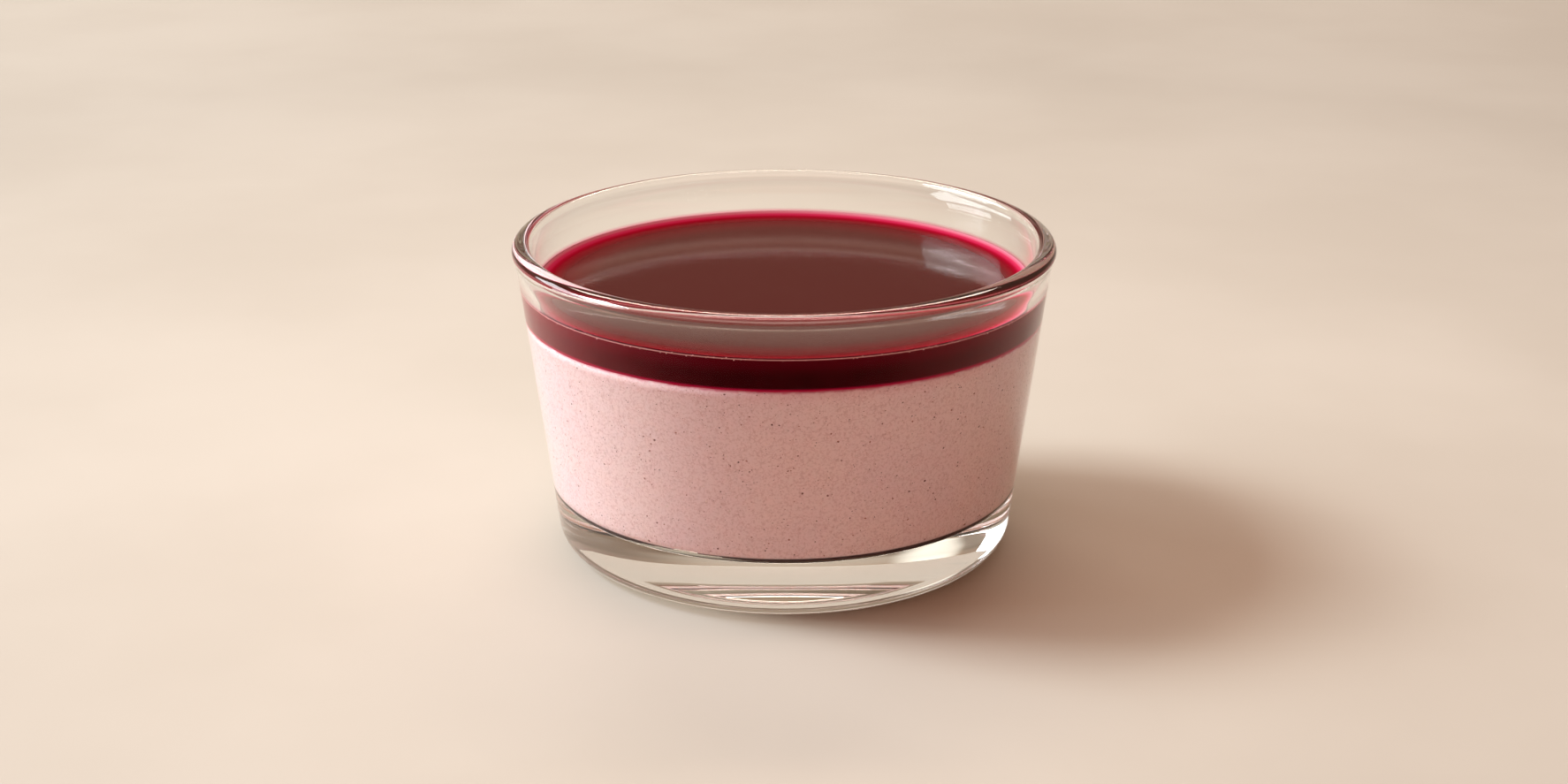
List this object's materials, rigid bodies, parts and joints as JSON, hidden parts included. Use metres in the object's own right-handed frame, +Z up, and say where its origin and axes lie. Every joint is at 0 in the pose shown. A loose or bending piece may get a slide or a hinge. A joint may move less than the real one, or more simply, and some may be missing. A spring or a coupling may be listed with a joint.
{
  "type": "panna cotta in a glass pot",
  "caption": "Panna cotta set in a low, thick-walled clear glass pot: pale pink speckled cream under a glossy dark red berry layer.",
  "frame": {"origin": "middle of the pot's foot, on the surface that it stands on", "axes": "+Z up along the axis that every piece is turned round"},
  "size_m": [0.085, 0.085, 0.05],
  "materials": {
    "clear_glass": "clear, smooth pressed glass",
    "berry_cream": "satin set cream, pale pink, with fine dark flecks",
    "berry_coulis": "wet gloss, dark red, crimson where it thins against the glass"
  },
  "bodies": {
    "root": {"glass_pot": "clear_glass", "cream_layer": "berry_cream", "coulis_layer": "berry_coulis"}
  },
  "joints": []
}
